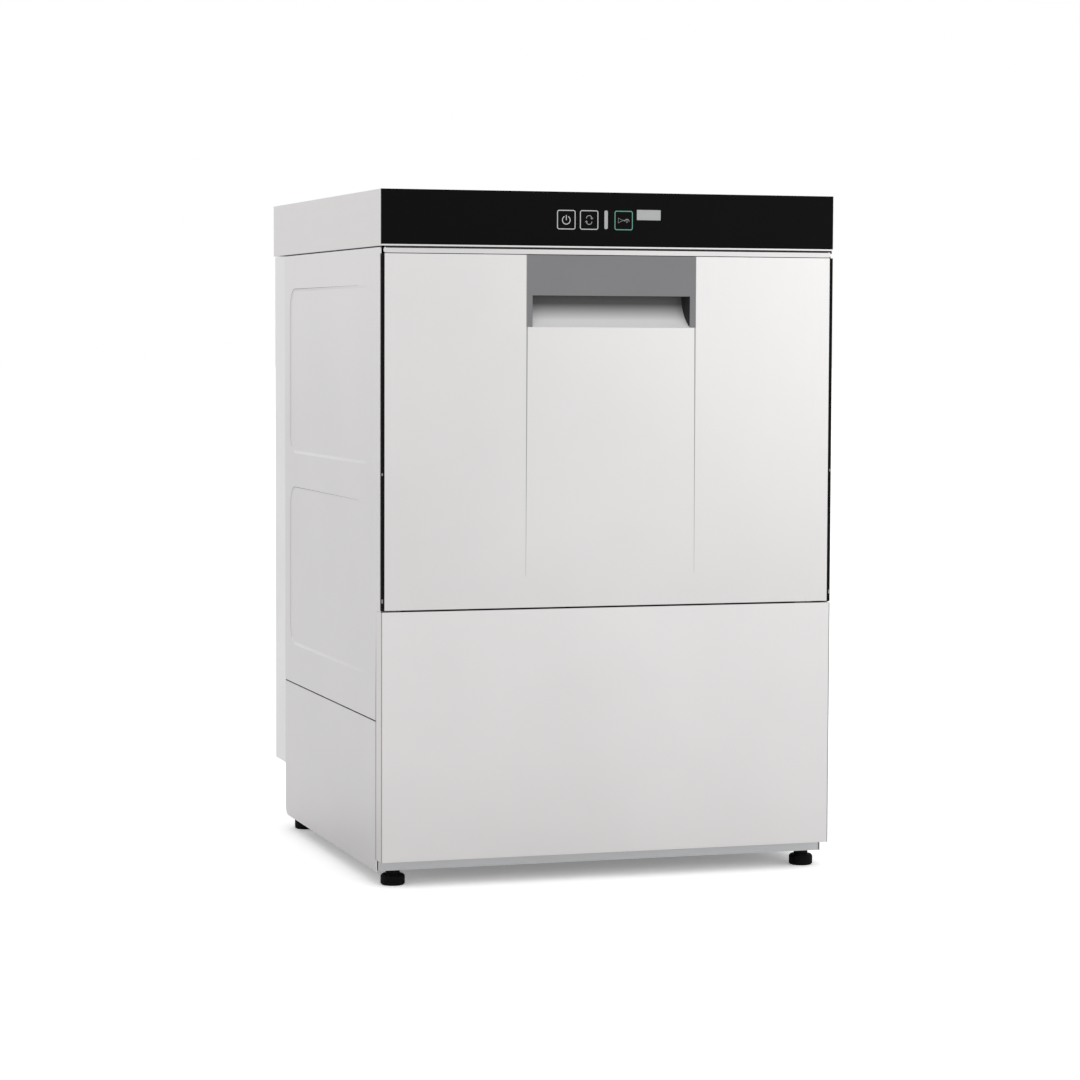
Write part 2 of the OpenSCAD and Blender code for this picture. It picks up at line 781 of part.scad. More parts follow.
module rinse_boiler() {
    x = boiler_pos[0];
    z = boiler_pos[1];
    y0 = boiler_y[0];
    y1 = boiler_y[1];
    wall = 1.5;
    color(STEEL) difference() {
        union() {
            translate([x, y0, z]) rotate([-90, 0, 0]) rotate_extrude() polygon([
                [0, 0], [boiler_r - 10, 0], [boiler_r, 10], [boiler_r, y1 - y0 - 10],
                [boiler_r - 10, y1 - y0], [0, y1 - y0]
            ]);
            for (y = [y0 + 30, y1 - 50])
                span([x - 45, y, floor_z], [x + 45, y + 20, z - 40]);
        }
        translate([x, y0 + wall, z]) rotate([-90, 0, 0])
            cylinder(r = boiler_r - 10, h = y1 - y0 - 2 * wall);
        translate([x, y0 + 10, z]) rotate([-90, 0, 0])
            cylinder(r = boiler_r - wall, h = y1 - y0 - 20);
        rod_y(x, y0 - 1, y0 + 3, z, 30);
    }
}

module boiler_heater() {
    x = boiler_pos[0];
    z = boiler_pos[1];
    y = boiler_y[0];
    back = 40;
    color("#a8835a") {
        rod_y(x, y - 6, y, z, 38);
        rod_y(x, y, y + 4, z, 29.6);
        for (s = [-14, 14])
            rod_y(x + s, y - 20, back, z, 4);
        translate([x, back, z]) rotate_extrude(angle = 180) translate([14, 0]) circle(4);
    }
}

module water_hoses() {
    y1 = boiler_y[1];
    turn = 30;
    hose_x = valve_x + 22;
    color(BLUE_PLASTIC)
        corner_route(rinse_port[0], y1, rinse_y, rinse_port[1], rinse_x, tub_z - 10, turn, 7);
    color(BLUE_PLASTIC) {
        rod_x(hose_x, feed_port[0] - turn, 165, feed_port[1], 7);
        translate([feed_port[0] - turn, 165 - turn, feed_port[1]]) bend(turn, 7);
        rod_y(feed_port[0], y1, 165 - turn, feed_port[1], 7);
    }
}

module inlet_valve() {
    body = 22;
    y = side_rear_y - 2.8 - 2;
    color(BRASS) {
        difference() {
            union() {
                rod_y(valve_x, y - 2, rear_y - 22, valve_z, 13.2);
                rod_y(valve_x, collar_y, collar_y + collar_t, valve_z, 17);
            }
            rod_y(valve_x, rear_y - 52, rear_y - 20, valve_z, 9);
        }
        span([valve_x - body, y - 44, valve_z - 20], [valve_x + body, y - 2, feed_port[1] + 10]);
    }
    color(BLACK) span([valve_x - 15, y - 40, feed_port[1] + 10], [valve_x + 15, y - 6, feed_port[1] + 48]);
}

module cable_gland() {
    y = side_rear_y - 2.8;
    color(BLACK) difference() {
        union() {
            rod_y(gland_x, y - 10, y + 14, valve_z, 8);
            translate([gland_x, y + sheet, valve_z]) rotate([-90, 0, 0]) cylinder(r = 13, h = 8, $fn = 6);
            translate([gland_x, y - 6, valve_z]) rotate([-90, 0, 0]) cylinder(r = 13, h = 6, $fn = 6);
            rod_y(gland_x, y + 14, y + 24, valve_z, 10.5);
        }
        rod_y(gland_x, y - 11, y + 25, valve_z, 5.5);
    }
}

module component_plate() {
    half = 82;
    color(DULL_STEEL) difference() {
        union() {
            span([-half, plate_y, floor_z], [half, plate_y + 1.5, tub_z - 8]);
            span([-half, plate_y + 1.5, floor_z], [half, plate_y + 16, floor_z + 1.5]);
        }
        for (s = [-1, 1])
            rod_y(s * dosing_x, plate_y - 1, plate_y + 3, dosing_z, 8.2);
    }
    color(WHITE_PLASTIC) span([-60, plate_y - 32, 110], [-6, plate_y, 182]);
    color(BLACK) span([10, plate_y - 26, 120], [66, plate_y, 172]);
    color(BLACK) rod_y(30, plate_y - 38, plate_y, 76, 20);
}

module dosing_housing(x) {
    depth = 26;
    color(WHITE_PLASTIC) difference() {
        union() {
            rod_y(x, plate_y - depth, plate_y, dosing_z, 24);
            rod_y(x, plate_y, plate_y + 1.5, dosing_z, 8);
            rod_y(x, plate_y + 1.5, plate_y + 17, dosing_z, 16);
            span([x - 20, plate_y - depth + 4, dosing_z - 34], [x - 12, plate_y - depth + 12, dosing_z - 10]);
            span([x + 12, plate_y - depth + 4, dosing_z - 34], [x + 20, plate_y - depth + 12, dosing_z - 10]);
        }
        rod_y(x, plate_y - depth - 1, plate_y - 8, dosing_z, 17);
        rod_y(x, plate_y - 9, plate_y + 10, dosing_z, 2 + running);
    }
}

module dosing_housings() {
    for (s = [-1, 1])
        dosing_housing(s * dosing_x);
}

module dosing_rotor(x) {
    color(BLUE_PLASTIC) {
        rod_y(x, plate_y - 24, plate_y + 9, dosing_z, 2);
        rod_y(x, plate_y - 25, plate_y - 23, dosing_z, 14);
        rod_y(x, plate_y - 11, plate_y - 9, dosing_z, 14);
        for (a = [0:120:240])
            translate([x, 0, dosing_z]) rotate([0, a, 0]) rod_y(10.5, plate_y - 23, plate_y - 11, 0, 4.5);
    }
}

// ---- Door ----

// The door's skin with its turned edges, the grip pocket and the hinge holes
module door_outer_panel() {
    edge = 18;
    pocket = grip_half + sheet;
    wall_y = front_y + scoop_depth;
    color(STEEL) difference() {
        union() {
            span([-door_half, front_y, door_z], [door_half, skin_in_y, door_top]);
            both_sides() span([door_half - sheet, skin_in_y, door_z], [door_half, door_rear_y, door_top]);
            for (z = [door_z, door_top - sheet])
                span([-door_half, skin_in_y, z], [door_half, door_rear_y, z + sheet]);
            both_sides() span([grip_half, skin_in_y, grip_z - 2], [pocket, wall_y + sheet, door_top]);
            span([-pocket, skin_in_y, grip_z - 2], [pocket, wall_y + sheet, door_top]);
        }
        // The pocket behind the grip, with its curved floor
        difference() {
            span([-grip_half, front_y - 1, grip_z], [grip_half, wall_y, door_top + 1]);
            rotate([90, 0, 90]) translate([0, 0, -grip_half - 1]) linear_extrude(2 * grip_half + 2)
                difference() {
                    translate([front_y - 2, grip_z - 1]) square([scoop_depth + 3, lip_z - grip_z + 1]);
                    translate([scoop_y, lip_z]) circle(scoop_r);
                }
        }
        // The hollow under the curved floor
        difference() {
            span([-grip_half, skin_in_y, grip_z - 3], [grip_half, wall_y + sheet + 1, lip_z]);
            rod_x(-grip_half - 1, grip_half + 1, scoop_y, lip_z, scoop_r + sheet);
        }
        // The shallow channel that fades out below the grip
        translate([0, front_y, channel_z])
            rotate([atan(channel_d / (grip_z - channel_z)), 0, 0]) translate([-grip_half, -4, 0])
                cube([2 * grip_half, 4, grip_z - channel_z + 4]);
        rod_x(-door_half - 1, door_half + 1, hinge_y, hinge_z, pin_r + running + 0.04);
    }
}

module door_inner_panel() {
    dish = [2 * 225, 330, 20];
    mid_z = 512;
    press = 4;
    in_half = door_half - sheet;
    color(STEEL) difference() {
        union() {
            span([-in_half, door_rear_y - sheet, door_z + sheet], [in_half, door_rear_y, door_top - sheet]);
            plate_y(door_rear_y - sheet - press, press) translate([0, mid_z])
                rounded_rect(dish[0], dish[1], dish[2]);
        }
        plate_y(door_rear_y - press, press + 1) translate([0, mid_z])
            rounded_rect(dish[0] - 2 * sheet, dish[1] - 2 * sheet, dish[2] - sheet);
    }
}

// Grey moulded grip: a flat lip, a leg on each side and a web under the door's top edge
module door_handle() {
    lip_t = 3;
    back = front_y + scoop_depth - 0.2;
    color(GRIP_GREY) {
        span([-grip_half, front_y, lip_z], [grip_half, front_y + lip_t, door_top]);
        span([-grip_half, front_y, door_top - lip_t], [grip_half, back, door_top]);
        span([-grip_half, front_y + lip_t, lip_z], [grip_half, front_y + lip_t + 4, lip_z + lip_t]);
        both_sides() plate_x(grip_half - leg_w, leg_w) {
            translate([front_y, lip_z]) square([back - front_y, door_top - lip_z]);
            intersection() {
                translate([front_y, grip_z]) square([back - front_y, lip_z - grip_z + 1]);
                translate([scoop_y, lip_z]) circle(scoop_r - 0.2);
            }
        }
    }
}

module door_gasket() {
    x = [tub_half + 2, tub_half + 12];
    y = [door_rear_y + 0.4, tub_front_y];
    low = hinge_z + 20;
    top = tub_top + 6;
    color(RUBBER) {
        both_sides() span([x[0], y[0], low], [x[1], y[1], top]);
        span([-x[0], y[0], top - 10], [x[0], y[1], top]);
    }
}

module side_seals() {
    x = door_half + side_gap;
    color(RUBBER) both_sides() {
        span([x, front_y, door_z - 0.5], [half_w, front_y + 1.8, door_top]);
        span([x + 0.2, front_y + 1.8, hinge_z + 29], [in_x, front_y + 18, door_top]);
    }
}

module hinge_brackets() {
    x = door_half + side_gap + 0.2;
    color(DULL_STEEL) both_sides() {
        span([x, front_y + 2.4, door_z - 1], [in_x, plinth_y + 7, hinge_z + 27]);
        rod_x(222, x, hinge_y, hinge_z, pin_r);
    }
}

module hinge_blocks() {
    outer = door_half - sheet;
    color(DULL_STEEL) both_sides() difference() {
        span([outer - 16, skin_in_y, hinge_z - 9], [outer, hinge_y + 9, hinge_z + 11]);
        rod_x(outer - 17, outer + 1, hinge_y, hinge_z, pin_r + running);
    }
}

module door_springs() {
    wire = 1.25;
    pitch = 2.35;
    color(DULL_STEEL) both_sides() translate([225.5, hinge_y, hinge_z]) rotate([0, 90, 0])
        rotate_extrude() for (i = [0:6])
            translate([7, i * pitch]) circle(wire);
}

module door_catches() {
    low = door_top + 1;
    color(BLACK) both_sides()
        span([140, tub_front_y - 2, low], [170, tub_front_y + 8, hood_z - 1.2 - sheet]);
}

// ---- Assembly ----

base_frame();
foot(-foot_x, foot_front_y);  // foot_front_left
foot(foot_x, foot_front_y);  // foot_front_right
foot(-foot_x, foot_rear_y);  // foot_rear_left
foot(foot_x, foot_rear_y);  // foot_rear_right
mirror([1, 0, 0]) lower_side_panel();  // lower_side_panel_left
lower_side_panel();  // lower_side_panel_right
mirror([1, 0, 0]) upper_side_panel();  // upper_side_panel_left
upper_side_panel();  // upper_side_panel_right
lower_front_panel();
lower_rear_panel();
rear_cover();
top_cover();
front_top_rail();
control_fascia();
display_lenses();
button(power_x);  // button_power
button(cycle_x);  // button_cycle
button(start_x);  // button_start
control_board();
wash_chamber();
wash_tank();
tank_filters();
strainer_basket();
overflow_standpipe();
rack_rails();
spray_risers();
lower_spindle();
upper_spindle();
lower_wash_arm();
lower_rinse_arm();
upper_wash_arm();
upper_rinse_arm();
arm_screws();
pump_volute();
pump_motor();
pump_rotor();
suction_hose();
delivery_hose();
drain_pipe();
tank_heater();
rinse_boiler();
boiler_heater();
water_hoses();
inlet_valve();
component_plate();
dosing_housings();
dosing_rotor(-dosing_x);  // detergent_rotor
dosing_rotor(dosing_x);  // rinse_aid_rotor
cable_gland();
door_outer_panel();
door_inner_panel();
door_handle();
door_gasket();
side_seals();
hinge_brackets();
hinge_blocks();
door_springs();
door_catches();
panel_screws();
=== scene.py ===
"""Looks of a front-loading glass washer: materials, fine pieces, light and camera around the CAD frame.

Everything is in metres in the row frame: X to the right, Y to the back, Z up, feet on z = 0.
"""
import json
import math

import bmesh
import bpy
from mathutils import Matrix, Vector


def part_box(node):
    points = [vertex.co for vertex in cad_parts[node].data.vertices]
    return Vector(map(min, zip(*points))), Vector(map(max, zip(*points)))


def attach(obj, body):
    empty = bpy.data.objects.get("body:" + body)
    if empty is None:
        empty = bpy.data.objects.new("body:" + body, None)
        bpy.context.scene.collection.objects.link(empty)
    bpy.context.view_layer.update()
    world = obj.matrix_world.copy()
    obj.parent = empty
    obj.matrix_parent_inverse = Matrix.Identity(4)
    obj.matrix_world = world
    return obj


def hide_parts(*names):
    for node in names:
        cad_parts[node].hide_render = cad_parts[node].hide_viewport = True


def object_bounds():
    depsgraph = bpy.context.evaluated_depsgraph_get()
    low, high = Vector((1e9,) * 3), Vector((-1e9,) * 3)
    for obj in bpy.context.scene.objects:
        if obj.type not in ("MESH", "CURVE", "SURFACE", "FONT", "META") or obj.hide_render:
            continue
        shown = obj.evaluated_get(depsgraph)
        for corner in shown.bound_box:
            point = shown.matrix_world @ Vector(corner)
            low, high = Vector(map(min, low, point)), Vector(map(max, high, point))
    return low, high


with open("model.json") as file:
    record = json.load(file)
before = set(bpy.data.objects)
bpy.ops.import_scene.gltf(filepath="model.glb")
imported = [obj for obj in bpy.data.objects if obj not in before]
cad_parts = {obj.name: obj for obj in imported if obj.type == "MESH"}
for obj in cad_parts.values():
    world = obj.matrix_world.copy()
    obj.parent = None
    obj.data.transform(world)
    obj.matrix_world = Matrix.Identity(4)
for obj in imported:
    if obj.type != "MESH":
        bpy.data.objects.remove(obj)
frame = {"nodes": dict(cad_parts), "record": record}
CAD_BOX = [list(corner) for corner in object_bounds()]
NODES = frame["nodes"]
SLOT_OF = {s["node"]: s["material_slot"] for s in frame["record"]["subparts"]}

MM = 0.001
FRONT_Y = CAD_BOX[0][1]
WIDE = CAD_BOX[1][0]
# Height of the grip insert's lip under its top edge, over the finger pocket
GRIP_LIP = 44.5 * MM

# ---- Material helpers ----


class Surface:
    """A node-based material: a Principled shader and the textures that feed it."""

    def __init__(self, name, colour, **inputs):
        self.mat = bpy.data.materials.new(name)
        self.mat.use_nodes = True
        self.nodes = self.mat.node_tree.nodes
        self.links = self.mat.node_tree.links
        self.shader = self.nodes["Principled BSDF"]
        self.colour = colour
        self.shader.inputs["Base Color"].default_value = (*colour, 1.0)
        for key, value in inputs.items():
            self.shader.inputs[key.replace("_", " ")].default_value = value

    def coords(self, scale=(1.0, 1.0, 1.0)):
        """Object coordinates, stretched by a scale on each axis."""
        source = self.nodes.new("ShaderNodeTexCoord")
        mapping = self.nodes.new("ShaderNodeMapping")
        mapping.inputs["Scale"].default_value = scale
        self.links.new(source.outputs["Object"], mapping.inputs["Vector"])
        return mapping.outputs["Vector"]

    def noise(self, scale=(1.0, 1.0, 1.0), size=1.0, detail=3.0):
        """A noise in object space, stretched by a scale on each axis."""
        tex = self.nodes.new("ShaderNodeTexNoise")
        tex.inputs["Scale"].default_value = size
        tex.inputs["Detail"].default_value = detail
        self.links.new(self.coords(scale), tex.inputs["Vector"])
        return tex.outputs["Fac"]

    def between(self, factor, low, high):
        """Maps 0.3 to 0.7 of a noise to a range of numbers."""
        node = self.nodes.new("ShaderNodeMapRange")
        node.inputs["From Min"].default_value = 0.3
        node.inputs["From Max"].default_value = 0.7
        node.inputs["To Min"].default_value = low
        node.inputs["To Max"].default_value = high
        self.links.new(factor, node.inputs["Value"])
        return node.outputs["Result"]

    def vary_colour(self, factor, amount):
        """Darkens and lightens the base colour by an amount, following a noise."""
        mix = self.nodes.new("ShaderNodeMix")
        mix.data_type = "RGBA"
        mix.inputs["A"].default_value = (*[c * (1 - amount) for c in self.colour], 1.0)
        mix.inputs["B"].default_value = (*[min(1.0, c * (1 + amount)) for c in self.colour], 1.0)
        self.links.new(self.between(factor, 0.0, 1.0), mix.inputs["Factor"])
        self.links.new(mix.outputs["Result"], self.shader.inputs["Base Color"])

    def vary_roughness(self, factor, low, high):
        self.links.new(self.between(factor, low, high), self.shader.inputs["Roughness"])

    def bump(self, factor, strength, distance):
        node = self.nodes.new("ShaderNodeBump")
        node.inputs["Strength"].default_value = strength
        node.inputs["Distance"].default_value = distance
        self.links.new(factor, node.inputs["Height"])
        self.links.new(node.outputs["Normal"], self.shader.inputs["Normal"])


GRAIN_ALONG, GRAIN_ACROSS = 14.0, 1500.0
GRAIN_DEPTH = 0.02 * MM


def brushed(name, colour, grain, roughness=(0.3, 0.38)):
    """Satin stainless sheet whose fine lines run along one axis."""
    surface = Surface(name, colour, Metallic=1.0)
    scale = [GRAIN_ALONG if axis == grain else GRAIN_ACROSS for axis in "XYZ"]
    lines = surface.noise(scale, detail=2.0)
    cloud = surface.noise(size=5.0, detail=4.0)
    surface.vary_colour(cloud, 0.018)
    mixed = surface.nodes.new("ShaderNodeMix")
    mixed.inputs["Factor"].default_value = 0.45
    surface.links.new(lines, mixed.inputs["A"])
    surface.links.new(cloud, mixed.inputs["B"])
    surface.vary_roughness(mixed.outputs["Result"], *roughness)
    surface.bump(lines, 0.12, GRAIN_DEPTH)
    return surface.mat


def moulded(name, colour, roughness, grain_size=1800.0, bump=0.15, **inputs):
    """Plastic, rubber or coated metal with a fine grain and slightly uneven colour."""
    surface = Surface(name, colour, **inputs)
    grain = surface.noise(size=grain_size, detail=2.0)
    cloud = surface.noise(size=14.0)
    spread = 0.04
    surface.vary_colour(cloud, 0.02)
    surface.vary_roughness(cloud, roughness - spread, roughness + spread)
    surface.bump(grain, bump, 0.05 * MM)
    return surface.mat


def shaded_scoop(lip_z):
    """Satin sheet in the grip pocket, darkening upwards into the shade of the lip."""
    dark_below, light_below = 8.5 * MM, 27 * MM
    surface = Surface("satin_steel_scoop", (0.88, 0.875, 0.885), Metallic=0.1, Roughness=0.5)
    axes = surface.nodes.new("ShaderNodeSeparateXYZ")
    surface.links.new(surface.coords(), axes.inputs["Vector"])
    height = surface.nodes.new("ShaderNodeMapRange")
    height.inputs["From Min"].default_value = lip_z - dark_below
    height.inputs["From Max"].default_value = lip_z - light_below
    surface.links.new(axes.outputs["Z"], height.inputs["Value"])
    mix = surface.nodes.new("ShaderNodeMix")
    mix.data_type = "RGBA"
    mix.inputs["A"].default_value = (0.115, 0.115, 0.113, 1.0)
    mix.inputs["B"].default_value = (*surface.colour, 1.0)
    surface.links.new(height.outputs["Result"], mix.inputs["Factor"])
    surface.links.new(mix.outputs["Result"], surface.shader.inputs["Base Color"])
    surface.bump(surface.noise((GRAIN_ALONG, GRAIN_ACROSS, GRAIN_ACROSS), detail=2.0), 0.1, GRAIN_DEPTH)
    return surface.mat


STEEL = (0.80, 0.785, 0.782)
LIP_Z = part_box("door_handle")[1].z - GRIP_LIP
MATERIALS = {
    "steel_up": brushed("satin_steel_vertical", STEEL, "Z"),
    "steel_across": brushed("satin_steel_horizontal", (0.85, 0.836, 0.832), "X"),
    "steel_deep": brushed("satin_steel_lengthwise", STEEL, "Y"),
    "satin_steel": brushed("satin_steel_inside", (0.74, 0.735, 0.73), "Z", (0.24, 0.34)),
    "side_steel": brushed("satin_steel_sides", (0.84, 0.827, 0.83), "Z"),
    # Darker than the casing steel: painted shade for the plinth, which stands back under the lower front
    # panel
    "plain_steel": brushed("plain_steel", (0.60, 0.61, 0.62), "X", (0.3, 0.42)),
    "line_steel": brushed("satin_steel_in_shade", (0.40, 0.395, 0.395), "Z", (0.4, 0.5)),
    # Painted highlight on the lower shoulders of the pressed side fields
    "painted_highlight_line": moulded("painted_crease_highlight", (0.97, 0.965, 0.965), 0.5, 2500.0, 0.02),
    # Grey: painted shade on the fields' upper and rear shoulders, the front corner and the grip gap; also
    # the seal clips' own grey
    "grey_and_painted_shade": moulded("grey_sheet_and_painted_shade", (0.30, 0.295, 0.295), 0.5, 2500.0, 0.02,
                          Specular_IOR_Level=0.2),
    # Dark joints between sheets; also painted shade on the cheeks of the grip pocket
    "joint_and_painted_shade_dark": moulded("dark_joint_and_painted_shade", (0.035, 0.034, 0.034), 0.6, 2500.0, 0.05,
                          Specular_IOR_Level=0.1),
    "scoop_steel": shaded_scoop(LIP_Z),
    "rail_steel": brushed("satin_steel_rail", (0.72, 0.71, 0.71), "X"),
    "pale_coat": moulded("pale_coat", (0.95, 0.95, 0.95), 0.5, 900.0, 0.2),
    "black_fascia": moulded("black_fascia", (0.0035, 0.0035, 0.0038), 0.3, 2500.0, 0.03,
                            Specular_IOR_Level=0.05),
    "display_lens": moulded("display_lens", (0.50, 0.51, 0.51), 0.4, 2500.0, 0.02,
                            Specular_IOR_Level=0.2),
    "grip_plastic": moulded("grip_plastic", (0.240, 0.240, 0.248), 0.42, 1500.0, 0.2,
                            Specular_IOR_Level=0.35),
    "black_rubber": moulded("black_rubber", (0.003, 0.003, 0.0032), 0.65, 1200.0, 0.25,
                            Specular_IOR_Level=0.12),
    "foot_plastic": moulded("foot_plastic", (0.003, 0.003, 0.0032), 0.6, 1400.0, 0.2,
                            Specular_IOR_Level=0.1),
    "black_plastic": moulded("black_plastic", (0.012, 0.012, 0.013), 0.38, 1400.0, 0.2,
                             Specular_IOR_Level=0.35),
    "motor_alloy": moulded("motor_alloy", (0.5, 0.51, 0.52), 0.45, 500.0, 0.35, Metallic=1.0),
    "white_plastic": moulded("white_plastic", (0.78, 0.78, 0.76), 0.4),
    "blue_plastic": moulded("blue_plastic", (0.03, 0.09, 0.2), 0.36),
    "grey_pipe": moulded("grey_pipe", (0.28, 0.29, 0.31), 0.45),
    "brass": moulded("brass", (0.66, 0.47, 0.2), 0.32, 700.0, 0.15, Metallic=1.0),
    "heater_metal": moulded("heater_metal", (0.42, 0.36, 0.3), 0.36, 900.0, 0.1, Metallic=1.0),
    "circuit_board": moulded("circuit_board", (0.02, 0.12, 0.05), 0.35, 500.0, 0.15),
    "print_white": moulded("print_white", (0.60, 0.61, 0.61), 0.5, 2500.0, 0.02),
    "print_grey": moulded("print_grey", (0.34, 0.35, 0.35), 0.5, 2500.0, 0.02),
    "print_green": moulded("print_green", (0.13, 0.38, 0.31), 0.5, 2500.0, 0.02),
}

# Nodes that don't take the material of their slot
OWN_MATERIAL = {
    "top_cover": "steel_deep", "front_top_rail": "rail_steel", "lower_front_panel": "steel_across",
    "door_outer_panel": "steel_up", "door_inner_panel": "steel_up",
    **{f"{row}_side_panel_{side}": "side_steel" for row in ("upper", "lower") for side in ("left", "right")},
    **{f"foot_{end}_{side}": "foot_plastic" for end in ("front", "rear") for side in ("left", "right")},
}
# Folded and moulded parts whose edges catch the light
SOFT_EDGED = ["top_cover", "front_top_rail", "lower_front_panel", "door_outer_panel", "control_fascia",
              "lower_side_panel_left", "lower_side_panel_right", "door_handle", "door_inner_panel",
              "button_power", "button_cycle", "button_start", "wash_chamber"]


def give_material(obj, mat):
    """Puts one material in every slot of an object."""
    if not obj.material_slots:
        obj.data.materials.append(mat)
    for place in obj.material_slots:
        place.material = mat


def soften_edges(obj, width):
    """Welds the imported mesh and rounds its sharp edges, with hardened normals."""
    weld = obj.modifiers.new("weld", "WELD")
    weld.merge_threshold = 0.001 * MM
    bevel = obj.modifiers.new("edges", "BEVEL")
    bevel.width = width
    bevel.segments = 2
    bevel.limit_method = "ANGLE"
    bevel.angle_limit = math.radians(40)
    bevel.harden_normals = True


for name, obj in NODES.items():
    give_material(obj, MATERIALS[OWN_MATERIAL.get(name, SLOT_OF[name])])
for name in SOFT_EDGED:
    soften_edges(NODES[name], 0.35 * MM)

# ---- Mesh helpers ----


def make_piece(name, bm, body, mat, replaced=()):
    """Turns a bmesh into an object that rides on a body, and says which nodes it replaces."""
    mesh = bpy.data.meshes.new(name)
    bm.to_mesh(mesh)
    bm.free()
    obj = bpy.data.objects.new(name, mesh)
    bpy.context.scene.collection.objects.link(obj)
    obj.data.materials.append(MATERIALS[mat])
    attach(obj, body)
    if replaced:
        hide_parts(*replaced)
    return obj


def arc(centre, radius, start, end, steps=16):
    """Points on an arc, angles in degrees, anticlockwise from the first axis."""
    angles = [math.radians(start + (end - start) * i / steps) for i in range(steps + 1)]
    return [(centre[0] + radius * math.cos(a), centre[1] + radius * math.sin(a)) for a in angles]


def rounded(centre, width, height, radius, steps=8):
    """Points of a rounded rectangle, anticlockwise."""
    points = []
    for quarter, (sx, sy) in enumerate([(1, 1), (-1, 1), (-1, -1), (1, -1)]):
        corner = (centre[0] + sx * (width / 2 - radius), centre[1] + sy * (height / 2 - radius))
        points += arc(corner, radius, 90 * quarter, 90 * quarter + 90, steps)
    return points


def add_stroke(bm, points, width, y, closed=False):
    """Flat line of one width along (x, z) points, facing the front at y, with turned-back sides."""
    turned_back, flat_share = 0.06 * MM, 0.9
    count = len(points)
    path = [Vector(p) for p in points]
    rows = []
    for i, here in enumerate(path):
        before = path[i - 1] if closed or i else here
        after = path[(i + 1) % count] if closed or i < count - 1 else here
        along = (after - before).normalized()
        side = Vector((-along.y, along.x)) * width / 2
        rows.append([bm.verts.new((p.x, y + back, p.y)) for p, back in
                     ((here + side, turned_back), (here + side * flat_share, 0),
                      (here - side * flat_share, 0), (here - side, turned_back))])
    for i in range(count if closed else count - 1):
        a, b = rows[i], rows[(i + 1) % count]
        for k in range(3):
            bm.faces.new((a[k], a[k + 1], b[k + 1], b[k]))


def bridge(bm, outer, inner):
    """Faces between two rings of vertices, facing away from the middle of anticlockwise rings."""
    rim = list(zip(outer, outer[1:] + outer[:1], inner[1:] + inner[:1], inner))
    return [bm.faces.new(corners) for corners in rim]


def add_plate(bm, points, y):
    """Flat shape through (x, z) points, facing the front at y. Gives back its vertices."""
    corners = [bm.verts.new((x, y, z)) for x, z in points]
    face = bm.faces.new(corners)
    face.normal_update()
    if face.normal.y > 0:
        face.normal_flip()
    return corners


def add_side_band(bm, x, corners):
    """Flat shape through (y, z) corners on a plane of constant x, facing outwards."""
    face = bm.faces.new([bm.verts.new((x, y, z)) for y, z in corners])
    face.normal_update()
    if face.normal.x * x < 0:
        face.normal_flip()


# ---- Controls ----

KEY_Y = FRONT_Y - 0.08 * MM


def key_centre(node):
    """Middle of a button's face in x and z."""
    low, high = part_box(node)
    return (low.x + high.x) / 2, (low.z + high.z) / 2


def key_outline(node, mat):
    """Printed border of a square button."""
    line, margin = 1.05 * MM, 1.5 * MM
    low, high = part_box(node)
    side = high.x - low.x - 2 * margin - line
    bm = bmesh.new()
    add_stroke(bm, rounded(key_centre(node), side, side, 2 * MM), line, KEY_Y, closed=True)
    make_piece(node + "_outline", bm, node, mat)


def symbol(node, name, mat, strokes, line):
    """Printed symbol of a button: strokes given in millimetres from its centre."""
    cx, cz = key_centre(node)
    bm = bmesh.new()
    for points, closed in strokes:
        add_stroke(bm, [(cx + x * MM, cz + z * MM) for x, z in points], line, KEY_Y, closed)
    make_piece(name, bm, node, mat)


def make_symbols():
    """Borders of the three buttons, and a mains, a cycle and a glass sign on them."""
    for node, mat in (("button_power", "print_white"), ("button_cycle", "print_white"),
                      ("button_start", "print_green")):
        key_outline(node, mat)
    symbol("button_power", "power_symbol", "print_white",
           [(arc((0, -0.4), 4.5, 118, 422, 32), False), ([(0, -0.6), (0, 5.0)], False)], 1.0 * MM)
    turn_up = arc((0, 1.7), 3.2, 0, 180)
    turn_down = arc((0, -1.7), 3.2, 180, 360)
    symbol("button_cycle", "cycle_symbol", "print_grey",
           [(turn_up, False), (turn_down, False),
            ([(1.9, 2.4), (3.2, 0.9), (4.5, 2.4)], False),
            ([(-4.5, -2.4), (-3.2, -0.9), (-1.9, -2.4)], False)], 0.85 * MM)
    symbol("button_start", "start_symbol", "print_grey",
           [([(-6.3, 2.7), (-6.3, -2.7), (-0.9, 0)], True), ([(-0.9, 0), (1.2, 0)], False),
            (arc((3.9, -1.0), 2.5, 0, 180), False), ([(3.9, 1.4), (3.9, -2.6)], False)], 0.75 * MM)


def make_display():
    """Window and light bar, each with a rounded outline and a shallow step."""
    low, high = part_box("display_lenses")
    bar_w, bar_h = 4.3 * MM, 21.0 * MM
    window_w, window_h = high.x - 28.7 * MM, 11.6 * MM
    bar_centre = (low.x + bar_w / 2, low.z + bar_h / 2)
    window_centre = (high.x - window_w / 2, high.z - window_h / 2)
    # Inset and distance behind the front of each ring, from the back edge to the face
    rings = [(0, 1.6 * MM), (0, 0.35 * MM), (0.25 * MM, 0.1 * MM)]
    for name, centre, size, radius in (("light_bar", bar_centre, (bar_w, bar_h), 2.1 * MM),
                                       ("display_window", window_centre, (window_w, window_h), 0.6 * MM)):
        bm = bmesh.new()
        loops = [[bm.verts.new((x, FRONT_Y + back, z)) for x, z in
                  rounded(centre, size[0] - 2 * inset, size[1] - 2 * inset, radius - inset)]
                 for inset, back in rings]
        for outer, inner in zip(loops, loops[1:]):
            bridge(bm, outer, inner)
        bm.faces.new(loops[-1])
        make_piece(name, bm, "cabinet", "display_lens",
                   ["display_lenses"] if name == "light_bar" else ())


# ---- Casing ----

